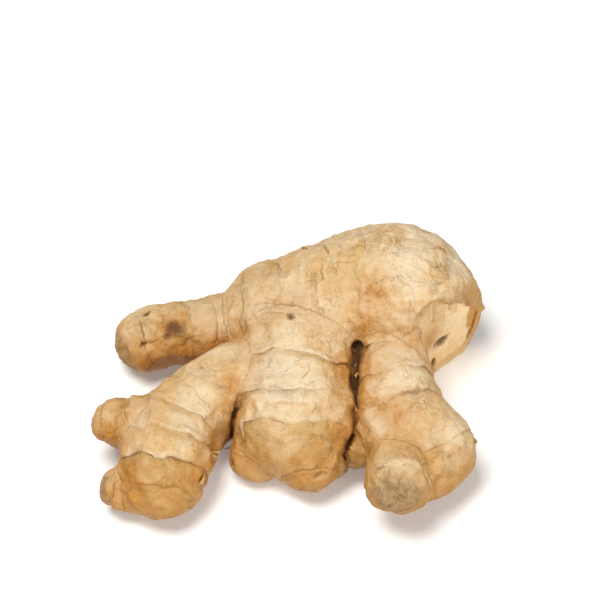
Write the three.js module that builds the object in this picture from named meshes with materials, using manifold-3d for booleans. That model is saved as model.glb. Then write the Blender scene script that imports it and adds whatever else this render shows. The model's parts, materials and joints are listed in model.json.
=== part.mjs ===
// A fresh ginger root: one knobbly rhizome, grown as a single piece and lying on a table.
// Millimetres, +Z up, +X to the right, -Y towards the ends of the fingers. The origin is under
// the middle of the finished root, on the surface that it rests on.
//
// The root is described the way it grew. A thick mother piece, cut off the plant at one end, lies
// along the back. Limbs grow out of it and out of each other: long fingers, stubby knobs and
// swellings. Each limb is a rounded sausage around a middle line, and all of them are joined.

import * as THREE from "three";
import { mergeVertices } from "three/addons/utils/BufferGeometryUtils.js";
import Module from "manifold-3d";

// ---- Driving dimensions ---------------------------------------------------------------------
//
// from     the limb that this one grows out of
// at       where on that limb's middle line it starts, as a share of the way to the tip
// side     how far its start is moved from there, to the left of the way that limb points
// length   along the middle line, from the start inside the parent to the tip
// heading  the way it points seen from above, in degrees from +X
// width    across it, seen from above
// height   from its underside to its top
// lift     how far its underside is above the table
//
// The last four are lists of values at equal steps from start to tip, with a smooth run between.
// Where the mother piece starts, its girth reaches below the table and is cut flat by it.

const LIMBS = {
  mother: {
    length: 88,
    heading: [128, 132, 160, 186, 187, 186, 190],
    width: [39, 43, 48, 46, 40, 36, 32],
    height: [52, 54, 51, 44, 38, 33, 28],
    lift: [-26, -13, -3, 0, 0, 0, 0],
  },
  back_finger: {
    from: "mother",
    at: 0.9,
    side: 0,
    length: 45,
    heading: [186, 188, 196, 208],
    width: [30, 24, 21, 20],
    height: [27, 22, 20, 19],
    lift: [0, 2, 3, 3],
  },
  middle_finger: {
    from: "mother",
    at: 0.665,
    side: 0,
    length: 63,
    heading: [264, 264, 265, 267, 268],
    width: [40, 41, 42, 41, 33],
    height: [36, 36, 34, 32, 27],
    lift: [0, 0, 0, 0, 0],
  },
  left_finger: {
    from: "middle_finger",
    at: 0.36,
    side: -10,
    length: 71,
    heading: [212, 212, 235, 262, 268],
    width: [24, 26, 28, 29, 18],
    height: [26, 27, 28, 27, 18],
    lift: [4, 3, 0, 0, 1],
  },
  left_knob: {
    from: "left_finger",
    at: 0.55,
    side: 0,
    length: 28,
    heading: [180, 180, 184],
    width: [17, 15.5, 13],
    height: [17, 15.5, 13],
    lift: [9, 10, 11],
  },
  low_knob: {
    from: "left_finger",
    at: 0.82,
    side: 0,
    length: 20,
    heading: [186, 186, 182],
    width: [14, 12, 11],
    height: [14, 12, 11],
    lift: [4, 4, 5],
  },
  right_finger: {
    from: "mother",
    at: 0.345,
    side: 5,
    length: 68,
    heading: [268, 271, 287, 303, 303],
    width: [22, 24, 30, 32, 30],
    height: [36, 34, 33, 30, 24],
    lift: [2, 0, 0, 0, 0],
  },
  right_knob: {
    from: "right_finger",
    at: 0.64,
    side: 3.5,
    length: 34.5,
    heading: [252, 256, 262],
    width: [22, 20, 20],
    height: [20, 20, 20],
    lift: [3, 8, 13],
  },
  side_knob: {
    from: "right_finger",
    at: 0.47,
    side: -10.5,
    length: 19,
    heading: [250, 256, 262],
    width: [17, 16, 14],
    height: [19, 17, 14],
    lift: [7, 5, 2],
  },
  left_swelling: {
    from: "middle_finger",
    at: 0.66,
    side: -6.5,
    length: 21,
    heading: [240, 240, 250],
    width: [18, 16, 13],
    height: [20, 18, 14],
    lift: [1, 1, 2],
  },
  nose: {
    from: "middle_finger",
    at: 0.74,
    side: 3,
    length: 19,
    heading: [274, 276, 276],
    width: [18, 16, 13],
    height: [18, 16, 13],
    lift: [3, 3, 3],
  },
  right_swelling: {
    from: "middle_finger",
    at: 0.66,
    side: 7,
    length: 18,
    heading: [290, 290, 280],
    width: [18, 16, 12],
    height: [18, 16, 13],
    lift: [2, 2, 3],
  },
};

// The knife's flat across the start of the mother piece.
const CUT_FROM_START = 9; // how far along the mother piece it is
const CUT_FACES = -49; // the way it faces, in degrees from +X

// The table presses the lowest spots flat.
const PRESSED_FLAT = 0.5;

// How finely a limb is made.
const AROUND = 20; // sides of its section
const STEP = 5; // between sections
const CAP_STEPS = 4; // sections in each round end
const BLUNTNESS = 0.85; // an end cap's length, as a share of the limb's half width there
const SQUARENESS = 2.3; // 2 is an ellipse, more is fuller at the shoulders
const LINE_STEP = 1; // between the points of a middle line
const BLOCK = 400; // a cutting block, larger than the whole root
const SAME_POINT = 1e-4; // corners closer than this are one

// ---- One limb -------------------------------------------------------------------------------

const radians = THREE.MathUtils.degToRad;

// The value of a list of equally spaced values, at share t of the way along, as a smooth run.
function along(values, t) {
  const last = values.length - 1;
  const place = THREE.MathUtils.clamp(t, 0, 1) * last;
  const i = Math.min(Math.floor(place), last - 1);
  const u = place - i;
  const [a, b] = [values[i], values[i + 1]];
  const slopeA = (b - (values[i - 1] ?? a)) / (i > 0 ? 2 : 1);
  const slopeB = ((values[i + 2] ?? b) - a) / (i + 2 <= last ? 2 : 1);
  const u2 = u * u;
  const u3 = u2 * u;
  return (
    a * (2 * u3 - 3 * u2 + 1) +
    slopeA * (u3 - 2 * u2 + u) +
    b * (3 * u2 - 2 * u3) +
    slopeB * (u3 - u2)
  );
}

// The middle line of a limb, seen from above, as points LINE_STEP apart. It runs one step past
// the tip, so that the way it points there can be found too.
function planLine(name) {
  const limb = LIMBS[name];
  const point = new THREE.Vector2(0, 0);
  if (limb.from) {
    const parent = LIMBS[limb.from];
    const line = planLine(limb.from);
    point.copy(pointOn(line, limb.at * parent.length));
    const left = radians(along(parent.heading, limb.at) + 90);
    point.x += limb.side * Math.cos(left);
    point.y += limb.side * Math.sin(left);
  }
  const line = [point.clone()];
  for (let s = 0; s < limb.length + LINE_STEP; s += LINE_STEP) {
    const way = radians(along(limb.heading, (s + LINE_STEP / 2) / limb.length));
    point.x += LINE_STEP * Math.cos(way);
    point.y += LINE_STEP * Math.sin(way);
    line.push(point.clone());
  }
  return line;
}

// The point at length s along a middle line.
function pointOn(line, s) {
  const place = s / LINE_STEP;
  const i = THREE.MathUtils.clamp(Math.floor(place), 0, line.length - 2);
  return line[i].clone().lerp(line[i + 1], place - i);
}

// Where the sections of a limb stand, and how much of its full girth each has: close together
// in the round ends, STEP apart between them.
function sections(length, startCap, endCap) {
  const found = [];
  for (let i = 1; i <= CAP_STEPS; i += 1) {
    const angle = (i / (CAP_STEPS + 1)) * (Math.PI / 2);
    found.push({ s: startCap * (1 - Math.cos(angle)), share: Math.sin(angle) });
  }
  const between = length - startCap - endCap;
  const steps = Math.max(1, Math.round(between / STEP));
  for (let i = 0; i <= steps; i += 1) {
    found.push({ s: startCap + (between * i) / steps, share: 1 });
  }
  for (let i = CAP_STEPS; i >= 1; i -= 1) {
    const angle = (i / (CAP_STEPS + 1)) * (Math.PI / 2);
    found.push({ s: length - endCap * (1 - Math.cos(angle)), share: Math.sin(angle) });
  }
  return found;
}

// A closed sausage around the limb's middle line. Each section is a superellipse, square to
// the middle line, with the limb's width and height there.
function limbGeometry(name) {
  const limb = LIMBS[name];
  const line = planLine(name);
  const centre = (s) => {
    const t = s / limb.length;
    const p = pointOn(line, s);
    return new THREE.Vector3(p.x, p.y, along(limb.lift, t) + along(limb.height, t) / 2);
  };
  const startCap = (BLUNTNESS * limb.width[0]) / 2;
  const endCap = (BLUNTNESS * limb.width[limb.width.length - 1]) / 2;
  const positions = [...centre(0).toArray()];
  const rows = sections(limb.length, startCap, endCap);
  for (const { s, share } of rows) {
    const t = s / limb.length;
    const middle = centre(s);
    const ahead = centre(s + LINE_STEP / 2)
      .sub(centre(s - LINE_STEP / 2))
      .normalize();
    const side = new THREE.Vector3().crossVectors(ahead, new THREE.Vector3(0, 0, 1)).normalize();
    const up = new THREE.Vector3().crossVectors(side, ahead);
    const halfWidth = (share * along(limb.width, t)) / 2;
    const halfHeight = (share * along(limb.height, t)) / 2;
    for (let k = 0; k < AROUND; k += 1) {
      const angle = (2 * Math.PI * k) / AROUND;
      const [c, d] = [Math.cos(angle), Math.sin(angle)];
      const reach =
        (Math.abs(c) ** SQUARENESS + Math.abs(d) ** SQUARENESS) ** (-1 / SQUARENESS);
      const p = middle
        .clone()
        .addScaledVector(side, halfWidth * reach * c)
        .addScaledVector(up, halfHeight * reach * d);
      positions.push(p.x, p.y, p.z);
    }
  }
  positions.push(...centre(limb.length).toArray());

  const index = [];
  const tip = 1 + rows.length * AROUND;
  const vertex = (row, k) => 1 + row * AROUND + (k % AROUND);
  for (let k = 0; k < AROUND; k += 1) {
    index.push(0, vertex(0, k), vertex(0, k + 1));
    for (let row = 0; row + 1 < rows.length; row += 1) {
      const [a, b] = [vertex(row, k), vertex(row, k + 1)];
      const [c, d] = [vertex(row + 1, k + 1), vertex(row + 1, k)];
      index.push(a, d, b, b, d, c);
    }
    index.push(tip, vertex(rows.length - 1, k + 1), vertex(rows.length - 1, k));
  }
  const geometry = new THREE.BufferGeometry();
  geometry.setAttribute("position", new THREE.Float32BufferAttribute(positions, 3));
  geometry.setIndex(index);
  return geometry;
}

// ---- Joining and cutting --------------------------------------------------------------------

const wasm = await Module();
wasm.setup();

function solid(geometry) {
  const bare = geometry.clone();
  bare.deleteAttribute("normal");
  bare.deleteAttribute("uv");
  const merged = mergeVertices(bare, SAME_POINT);
  return new wasm.Manifold(
    new wasm.Mesh({
      numProp: 3,
      vertProperties: new Float32Array(merged.attributes.position.array),
      triVerts: new Uint32Array(merged.index.array),
    }),
  );
}

function geometryOf(made) {
  const mesh = made.getMesh();
  return new THREE.BufferGeometry()
    .setAttribute("position", new THREE.BufferAttribute(mesh.vertProperties, 3))
    .setIndex(new THREE.BufferAttribute(mesh.triVerts, 1));
}

// A block that fills everything past a flat, to be cut away.
function blockPast(point, facing) {
  const block = new THREE.BoxGeometry(BLOCK, BLOCK, BLOCK);
  block.translate(0, 0, BLOCK / 2);
  const turn = new THREE.Quaternion().setFromUnitVectors(new THREE.Vector3(0, 0, 1), facing);
  block.applyQuaternion(turn);
  block.translate(point.x, point.y, point.z);
  return solid(block);
}

const cutPoint = pointOn(planLine("mother"), CUT_FROM_START);
const cutFacing = new THREE.Vector3(
  Math.cos(radians(CUT_FACES)),
  Math.sin(radians(CUT_FACES)),
  0,
);
const knife = blockPast(new THREE.Vector3(cutPoint.x, cutPoint.y, 0), cutFacing);
const table = blockPast(new THREE.Vector3(0, 0, PRESSED_FLAT), new THREE.Vector3(0, 0, -1));

let root = solid(limbGeometry("mother")).subtract(knife);
for (const name of Object.keys(LIMBS)) {
  if (name !== "mother") {
    root = root.add(solid(limbGeometry(name)));
  }
}
root = root.subtract(table);

// ---- The finished root ----------------------------------------------------------------------

const geometry = geometryOf(root);
geometry.computeBoundingBox();
const box = geometry.boundingBox;
geometry.translate(-(box.min.x + box.max.x) / 2, -(box.min.y + box.max.y) / 2, -box.min.z);
geometry.computeVertexNormals();

const skin = new THREE.MeshStandardMaterial({ color: "#d9b27c", roughness: 0.7, metalness: 0 });
const gingerRoot = new THREE.Mesh(geometry, skin);
gingerRoot.name = "ginger_root";

const part = new THREE.Group();
part.add(gingerRoot);
export default part;
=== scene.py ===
# %% [markdown]
# # A fresh ginger root
# Ginger is a rhizome, a stem that creeps sideways under the soil. A thick mother piece sends out
# fingers, and the fingers send out knobs, all with one thin papery skin. It is one solid piece, so
# one mesh is the honest way to build it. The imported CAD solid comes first, because it says how
# large the root is and where it lies.

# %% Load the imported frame
import json
import math

import bpy
import numpy as np
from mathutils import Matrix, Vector

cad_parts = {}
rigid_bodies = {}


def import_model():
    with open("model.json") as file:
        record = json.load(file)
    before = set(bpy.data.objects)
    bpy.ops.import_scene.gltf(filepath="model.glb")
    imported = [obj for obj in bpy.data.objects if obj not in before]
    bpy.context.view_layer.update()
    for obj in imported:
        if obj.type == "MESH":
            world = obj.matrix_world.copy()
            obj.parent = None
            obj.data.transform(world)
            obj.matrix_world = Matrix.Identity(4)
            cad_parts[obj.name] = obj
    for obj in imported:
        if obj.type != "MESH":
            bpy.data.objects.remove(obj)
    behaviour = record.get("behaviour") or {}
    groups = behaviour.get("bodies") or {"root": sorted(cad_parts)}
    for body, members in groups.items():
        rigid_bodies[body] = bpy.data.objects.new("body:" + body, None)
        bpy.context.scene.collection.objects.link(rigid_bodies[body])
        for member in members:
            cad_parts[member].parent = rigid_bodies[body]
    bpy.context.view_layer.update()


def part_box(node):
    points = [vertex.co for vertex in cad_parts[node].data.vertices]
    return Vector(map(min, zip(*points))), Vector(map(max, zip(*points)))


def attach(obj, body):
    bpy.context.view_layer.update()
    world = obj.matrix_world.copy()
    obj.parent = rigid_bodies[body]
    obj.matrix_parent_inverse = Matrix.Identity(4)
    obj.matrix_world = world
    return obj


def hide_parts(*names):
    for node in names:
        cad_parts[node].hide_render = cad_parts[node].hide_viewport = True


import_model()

NODE_LOW, NODE_HIGH = (np.array(corner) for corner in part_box("ginger_root"))
MM = 0.001
print("solid is", np.round((NODE_HIGH - NODE_LOW) / MM, 1), "mm")

# %% [markdown]
# ## How the root grew
# Each limb is written down the way it grew: which limb it left, how far along, which way it
# headed, and how thick it was. The same table drives the CAD solid. A modeller could push a sphere
# about by hand instead, but a growth table keeps every finger's rings and grain lined up with it.

# %% The limbs, in millimetres and degrees
# at: share of the parent's length; side: start moved to the parent's left; lift: height of underside
LIMBS = {
    "mother": dict(
        length=88,
        heading=[128, 132, 160, 186, 187, 186, 190],
        width=[39, 43, 48, 46, 40, 36, 32],
        height=[52, 54, 51, 44, 38, 33, 28],
        lift=[-26, -13, -3, 0, 0, 0, 0],
        rings=[13.5, 23.5, 38, 52, 66, 79],
        bold=[0.3, 0.3, 0.3, 0.5, 0.5, 0.5],
    ),
    "back_finger": dict(
        parent="mother", at=0.9, side=0, length=45,
        heading=[186, 188, 196, 208],
        width=[30, 24, 21, 20],
        height=[27, 22, 20, 19],
        lift=[0, 2, 3, 3],
        rings=[13, 21.5, 36],
    ),
    "middle_finger": dict(
        parent="mother", at=0.665, side=0, length=63,
        heading=[264, 264, 265, 267, 268],
        width=[40, 41, 42, 41, 33],
        height=[36, 36, 34, 32, 27],
        lift=[0, 0, 0, 0, 0],
        rings=[14, 27.5, 41.5, 53.5],
        bold=[0.35, 0.8, 0.45, 0.5],
    ),
    "left_finger": dict(
        parent="middle_finger", at=0.36, side=-10, length=71,
        heading=[212, 212, 235, 262, 268],
        width=[24, 26, 28, 29, 18],
        height=[26, 27, 28, 27, 18],
        lift=[4, 3, 0, 0, 1],
        rings=[20, 29, 37.5, 47.5, 56, 64.5],
        bold=[0.2, 0.3, 0.7, 0.7, 0.85, 0.5],
    ),
    "left_knob": dict(
        parent="left_finger", at=0.55, side=0, length=28,
        heading=[180, 180, 184],
        width=[17, 15.5, 13],
        height=[17, 15.5, 13],
        lift=[9, 10, 11],
        rings=[15.5, 24],
    ),
    "low_knob": dict(
        parent="left_finger", at=0.82, side=0, length=20,
        heading=[186, 186, 182],
        width=[14, 12, 11],
        height=[14, 12, 11],
        lift=[4, 4, 5],
        rings=[11, 16],
    ),
    "right_finger": dict(
        parent="mother", at=0.345, side=5, length=68,
        heading=[268, 271, 287, 303, 303],
        width=[22, 24, 30, 32, 30],
        height=[36, 34, 33, 30, 24],
        lift=[2, 0, 0, 0, 0],
        rings=[5, 10, 18.5, 30.5, 40, 59],
        bold=[0.6, 0.6, 0.7, 0.6, 0.6, 0.3],
    ),
    "right_knob": dict(
        parent="right_finger", at=0.64, side=3.5, length=34.5,
        heading=[252, 256, 262],
        width=[22, 20, 20],
        height=[20, 20, 20],
        lift=[3, 8, 13],
        rings=[15, 28.5],
    ),
    "side_knob": dict(
        parent="right_finger", at=0.47, side=-10.5, length=19,
        heading=[250, 256, 262],
        width=[17, 16, 14],
        height=[19, 17, 14],
        lift=[7, 5, 2],
        rings=[9],
    ),
    "left_swelling": dict(
        parent="middle_finger", at=0.66, side=-6.5, length=21,
        heading=[240, 240, 250],
        width=[18, 16, 13],
        height=[20, 18, 14],
        lift=[1, 1, 2],
        rings=[14],
    ),
    "nose": dict(
        parent="middle_finger", at=0.74, side=3, length=19,
        heading=[274, 276, 276],
        width=[18, 16, 13],
        height=[18, 16, 13],
        lift=[3, 3, 3],
        rings=[13.5],
    ),
    "right_swelling": dict(
        parent="middle_finger", at=0.66, side=7, length=18,
        heading=[290, 290, 280],
        width=[18, 16, 12],
        height=[18, 16, 13],
        lift=[2, 2, 3],
        rings=[12],
    ),
}
CUT_FROM_START = 9  # mm along the mother piece to the knife's flat
CUT_FACES = -49  # the way that flat faces, in degrees from +X
PRESSED_FLAT = 0.5  # mm that the table takes off the lowest spots
BLUNTNESS = 0.85  # length of a round end, as a share of the half width there
SQUARENESS = 2.3  # 2 is an ellipse, more is fuller at the shoulders
print(len(LIMBS), "limbs")

# %% [markdown]
# ## Middle lines
# A limb's heading and girth are given at a few even steps. A cubic through them gives a smooth run,
# as a spline would, and adding up short steps along the heading draws its middle line.

# %% Smooth runs and middle lines
def along(values, t):
    """Value at share t of the way along a list of even steps: a cubic Hermite run whose slope at
    each step is the mean slope of its two neighbours."""
    values = np.asarray(values, float)
    last = len(values) - 1
    place = np.clip(t, 0, 1) * last
    i = np.minimum(np.floor(place).astype(int), last - 1)
    u = place - i
    slope = np.gradient(values)
    rise = values[i] * (2 * u**3 - 3 * u**2 + 1) + values[i + 1] * (3 * u**2 - 2 * u**3)
    return rise + slope[i] * (u**3 - 2 * u**2 + u) + slope[i + 1] * (u**3 - u**2)


def plan_line(name):
    """Middle line seen from above, as points 1 mm apart: the start, plus the running sum of unit
    steps along the heading."""
    limb = LIMBS[name]
    start = np.zeros(2)
    if "parent" in limb:
        parent = LIMBS[limb["parent"]]
        line = plan_line(limb["parent"])
        start = plan_point(line, limb["at"] * parent["length"])
        left = math.radians(along(parent["heading"], limb["at"]) + 90)
        start = start + limb["side"] * np.array([math.cos(left), math.sin(left)])
    steps = np.arange(math.ceil(limb["length"] + 1)) + 0.5
    way = np.radians(along(limb["heading"], steps / limb["length"]))
    moves = np.stack([np.cos(way), np.sin(way)], axis=1)
    return np.vstack([start, start + np.cumsum(moves, axis=0)])


def plan_point(line, s):
    """Point at length s along a line of points 1 mm apart."""
    marks = np.arange(len(line))
    return np.stack([np.interp(s, marks, line[:, 0]), np.interp(s, marks, line[:, 1])], axis=-1)


def limb_frame(name, s):
    """Centre, three directions (ahead, side, up) and two half girths of a limb at lengths s."""
    limb = LIMBS[name]
    line = plan_line(name)
    t = s / limb["length"]
    middle = lambda q: along(limb["lift"], q) + along(limb["height"], q) / 2
    centre = np.column_stack([plan_point(line, s), middle(t)])
    nudge = 0.5 / limb["length"]
    climb = middle(t + nudge) - middle(t - nudge)
    way = np.radians(along(limb["heading"], t))
    ahead = np.column_stack([np.cos(way), np.sin(way), climb])
    ahead /= np.linalg.norm(ahead, axis=1, keepdims=True)
    side = np.column_stack([np.sin(way), -np.cos(way), np.zeros(len(s))])
    up = np.cross(side, ahead)
    return centre, ahead, side, up, along(limb["width"], t) / 2, along(limb["height"], t) / 2


def cap_lengths(name):
    """Length of the round end at a limb's start and at its tip."""
    width = LIMBS[name]["width"]
    return BLUNTNESS * width[0] / 2, BLUNTNESS * width[-1] / 2


CUT_POINT = np.append(plan_point(plan_line("mother"), CUT_FROM_START), 0.0)
CUT_WAY = np.array([math.cos(math.radians(CUT_FACES)), math.sin(math.radians(CUT_FACES)), 0.0])
CUT_ACROSS = np.array([-CUT_WAY[1], CUT_WAY[0], 0.0])
print("cut passes through", np.round(CUT_POINT, 1))

# %% [markdown]
# ## One limb's shell
# A limb is a loft: a rounded section carried along the middle line and drawn in to a point at each
# end. The sections are superellipses, a little squarer than an ellipse, as a packed root is. The
# mother piece is sliced by pushing every point past the knife's flat back onto it, which keeps the
# mesh closed, and the table does the same from below.

# %% The limb shells
AROUND = 96  # points round a section
ROW_GAP = 0.8  # mm between sections
CAP_ROWS = 16


def shell_rows(name):
    """Lengths of the sections and the share of full girth at each: sine of an angle that opens
    evenly over a round end, and 1 between the ends."""
    length = LIMBS[name]["length"]
    first, last = cap_lengths(name)
    angle = np.arange(1, CAP_ROWS + 1) / (CAP_ROWS + 1) * math.pi / 2
    middle = np.linspace(first, length - last, max(2, round((length - first - last) / ROW_GAP)))
    s = np.concatenate([first * (1 - np.cos(angle)), middle, (length - last * (1 - np.cos(angle)))[::-1]])
    share = np.concatenate([np.sin(angle), np.ones(len(middle)), np.sin(angle)[::-1]])
    return s, share


def tube_faces(rows, around):
    """Four-sided walls of a tube of `rows` rings, and the corner numbers of its two end rings."""
    ring = np.arange(around)
    nxt = (ring + 1) % around
    base = (np.arange(rows - 1) * around)[:, None]
    walls = np.stack([base + ring, base + around + ring, base + around + nxt, base + nxt], axis=-1)
    return walls.reshape(-1, 4), ring, (rows - 1) * around + ring


def limb_shell(name):
    """Closed shell of a limb: centre + share * reach * (half width * cos * side + half height *
    sin * up), where reach turns the circle into a superellipse. Returns points, walls and ends."""
    s, share = shell_rows(name)
    centre, ahead, side, up, half_wide, half_high = limb_frame(name, s)
    turn = np.arange(AROUND) / AROUND * 2 * math.pi
    c, d = np.cos(turn), np.sin(turn)
    reach = (np.abs(c) ** SQUARENESS + np.abs(d) ** SQUARENESS) ** (-1 / SQUARENESS)
    across = (half_wide * share)[:, None] * (reach * c)
    rise = (half_high * share)[:, None] * (reach * d)
    grid = centre[:, None] + across[..., None] * side[:, None] + rise[..., None] * up[:, None]
    ends = limb_frame(name, np.array([0.0, LIMBS[name]["length"]]))[0]
    points = np.vstack([grid.reshape(-1, 3), ends])
    walls, first, last = tube_faces(len(s), AROUND)
    start, tip = np.full(AROUND, len(points) - 2), np.full(AROUND, len(points) - 1)
    start_fan = np.stack([start, first, np.roll(first, -1)], axis=1)
    tip_fan = np.stack([tip, np.roll(last, -1), last], axis=1)
    return points, [walls, start_fan, tip_fan]


def push_back(points, origin, facing):
    """Points past a flat are moved straight back onto it."""
    past = np.maximum((points - origin) @ facing, 0)
    return points - past[:, None] * facing


def gathered(shells):
    """Many shells, each of points and arrays of faces, as one array of points and one list of faces."""
    faces, count = [], 0
    for points, blocks in shells:
        for block in blocks:
            faces += (block + count).tolist()
        count += len(points)
    return np.vstack([points for points, _ in shells]), faces


def trimmed_shell(name):
    """A limb's shell, stopped at the knife cut if it is the mother piece, and at the table."""
    points, blocks = limb_shell(name)
    if name == "mother":
        points = push_back(points, CUT_POINT, CUT_WAY)
    return push_back(points, np.array([0, 0, PRESSED_FLAT]), np.array([0, 0, -1.0])), blocks


all_points, all_faces = gathered([trimmed_shell(name) for name in LIMBS])
SHIFT = (NODE_LOW + NODE_HIGH) / 2 / MM - (all_points.min(0) + all_points.max(0)) / 2
SHIFT[2] = -PRESSED_FLAT
print("shells span", np.round(np.ptp(all_points, axis=0), 1), "mm, moved by", np.round(SHIFT, 2))

# %% [markdown]
# ## Growing the limbs together
# Twelve closed shells that pass through each other become one skin with a voxel remesh: it fills
# them with small cubes and wraps the outside. A boolean union would leave long thin faces along the
# joins, and the relief that comes next needs small even faces everywhere.

# %% One skin from twelve shells
VOXEL = 0.68  # mm


def mesh_from(name, points, faces):
    """A mesh from points in mm and a list of faces."""
    mesh = bpy.data.meshes.new(name)
    mesh.from_pydata((points * MM).tolist(), [], faces)
    mesh.update()
    return mesh


def placed(name, data):
    """A new object in the scene, at the origin."""
    piece = bpy.data.objects.new(name, data)
    bpy.context.scene.collection.objects.link(piece)
    return piece


shells = placed("limb_shells", mesh_from("limb_shells", all_points, all_faces))
union = shells.modifiers.new("grown_together", "REMESH")
union.mode = "VOXEL"
union.voxel_size = VOXEL * MM
evaluated = shells.evaluated_get(bpy.context.evaluated_depsgraph_get())
wrapped = bpy.data.meshes.new_from_object(evaluated)
skin_points = np.empty(len(wrapped.vertices) * 3)
wrapped.vertices.foreach_get("co", skin_points)
skin_points = skin_points.reshape(-1, 3) / MM
corners = np.empty(len(wrapped.loops), np.int32)
wrapped.loops.foreach_get("vertex_index", corners)
quads = corners.reshape(-1, 4)
bpy.data.objects.remove(shells)
bpy.data.meshes.remove(wrapped)
print(len(skin_points), "points and", len(quads), "four-sided faces")

# %% [markdown]
# ## Knowing where each point is
# Rings, grain and dry ends all follow a finger, so every point needs to know which limb it is on,
# how far along, and how close it is to the next limb. The nearest spot on each middle line gives
# all of that.

# %% Place of every point on its limb
def locate(points, name):
    """Distance outside a limb's plain surface, length along it, and offsets to its side and up."""
    first, last = cap_lengths(name)
    s = np.arange(first, max(LIMBS[name]["length"] - last, first + 0.6) + 0.01, 0.5)
    centre, ahead, side, up, half_wide, half_high = limb_frame(name, s)
    gap = (centre**2).sum(1) - 2 * points @ centre.T
    near = gap.argmin(axis=1)
    offset = points - centre[near]
    onward = (offset * ahead[near]).sum(1)
    sideways = (offset * side[near]).sum(1)
    upward = (offset * up[near]).sum(1)
    wide, high = half_wide[near], half_high[near]
    around = np.abs(sideways / wide) ** SQUARENESS + np.abs(upward / high) ** SQUARENESS
    past_end = np.where(near == 0, np.minimum(onward, 0) / first, 0)
    past_end = np.where(near == len(s) - 1, np.maximum(onward, 0) / last, past_end)
    size = np.sqrt(around ** (2 / SQUARENESS) + past_end**2)
    return (size - 1) * (wide + high) / 2, s[near] + onward, sideways, upward


NAMES = list(LIMBS)


def place_on_root(points):
    """Owner limb, length along it, two offsets, distance to the next nearest limb and its number."""
    found = np.stack([np.stack(locate(points, name)) for name in NAMES])
    order = np.argsort(found[:, 0], axis=0)
    owner, second = order[0], order[1]
    pick = np.arange(len(points))
    _, length, sideways, upward = found[owner, :, pick].T
    return owner, length, sideways, upward, found[second, 0, pick], second


owner, length_along, sideways, upward, next_limb, neighbour = place_on_root(skin_points)
for i, name in enumerate(NAMES):
    print(f"{name:15s} {np.count_nonzero(owner == i):6d} points")

# %% [markdown]
# ## Random ripples
# Smooth random lumps come from adding plane waves in seeded random directions. It is the same idea
# as fractal noise, but it is a plain sum that can be worked out for all points at once. Ripples of
# many sizes are used from here on: for lumps, for wandering rings and for ragged edges.

# %% Random ripples
def ripples(points, size, seed, waves=26):
    """Sum of cosines of seeded random plane waves about `size` mm long, scaled to about -1 to 1."""
    rng = np.random.default_rng(seed)
    ways = rng.normal(size=(waves, 3))
    ways /= np.linalg.norm(ways, axis=1, keepdims=True)
    ways *= (2 * math.pi / (size * rng.uniform(0.75, 1.35, waves)))[:, None]
    phase = rng.uniform(0, 2 * math.pi, waves)
    return np.cos(points @ ways.T + phase).sum(1) * 0.6 * math.sqrt(2 / waves)


print("ripples at the first point", np.round(ripples(skin_points[:1], 10, 1), 2))

# %% [markdown]
# ## Soft forks and deep gaps
# Where a limb leaves its parent, a real root has a soft fork and not a knife-sharp crease. Points
# there move outwards by the smooth-minimum rule, and averaging each point with its neighbours
# rounds what is left. Fingers that only press against each other keep a deep narrow gap instead:
# their points move inwards.

# %% Normals and averaging
def add_up(index, values, count):
    """Sum of the rows of values that share an index, for each of count indices."""
    return np.stack([np.bincount(index, values[:, i], count) for i in range(3)], axis=1)


def normals_of(points):
    """Mean of the faces around a point, each face's normal being the cross of its diagonals."""
    a, b, c, d = (points[quads[:, i]] for i in range(4))
    face = np.cross(c - a, d - b)
    total = sum(add_up(quads[:, i], face, len(points)) for i in range(4))
    return total / np.maximum(np.linalg.norm(total, axis=1, keepdims=True), 1e-9)


EDGE_FROM = np.concatenate([quads[:, i] for i in range(4)] + [quads[:, (i + 1) % 4] for i in range(4)])
EDGE_TO = np.concatenate([quads[:, (i + 1) % 4] for i in range(4)] + [quads[:, i] for i in range(4)])
EDGE_COUNT = np.bincount(EDGE_FROM, minlength=len(skin_points))[:, None]


def relaxed(points, weight, rounds, back=0.0):
    """Each round moves a point by its weight towards the mean of its neighbours, and then by a
    share `back` of that weight away from the new mean, which keeps small knobs from shrinking."""
    weight = np.broadcast_to(weight, (len(points),))[:, None]
    for _ in range(rounds):
        for share in (1.0, -back) if back else (1.0,):
            mean = add_up(EDGE_FROM, points[EDGE_TO], len(points)) / EDGE_COUNT
            points = points + share * weight * (mean - points)
    return points


# %% Fill the forks and open the gaps
FORK_REACH = 6.5  # mm from the next limb at which a fork starts to fill
KNOB_REACH = 7.5  # the same where a knob or swelling joins
FORK_ROUNDS = 45
KEEP_SIZE = 1.03  # how much of each averaging step is taken back
GAP_REACH = 2.6  # mm from a stranger at which a gap starts to open
GAP_DEPTH = 1.7
GAP_UNEVEN = 0.55  # how much a gap's width wanders, as a share of it
SOFTEN_ROUNDS = 3
LIP_ROUNDS = 60  # the skin folded over the cut's upper corner is round
LIP_START = 6  # mm from the cut's middle to where the torn lip's curve is measured from
LIP_CURVE = (43.5, -0.45, -0.022)  # its height there, its slope and its bend
BARE_FROM = -4.5  # mm across at which the bare flesh starts
STAYS_ROOTED = (33, 41)  # mm along the left finger over which it comes free of the middle one
STAYS_JOINED = (38, 46)  # the same along the middle finger
SWELLINGS = ("left_swelling", "nose", "right_swelling")
SMALL = np.array([name in SWELLINGS or "knob" in name for name in NAMES])


def strangers():
    """True where the owner limb and the next one are neither parent and child nor of one finger."""
    def family(name):
        line = [name]
        while "parent" in LIMBS[line[-1]]:
            line.append(LIMBS[line[-1]]["parent"])
        return line
    table = np.array([[b not in family(a) and a not in family(b) for b in NAMES] for a in NAMES])
    swellings = [NAMES.index(name) for name in SWELLINGS]
    table[np.ix_(swellings, swellings)] = False
    return table


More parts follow.
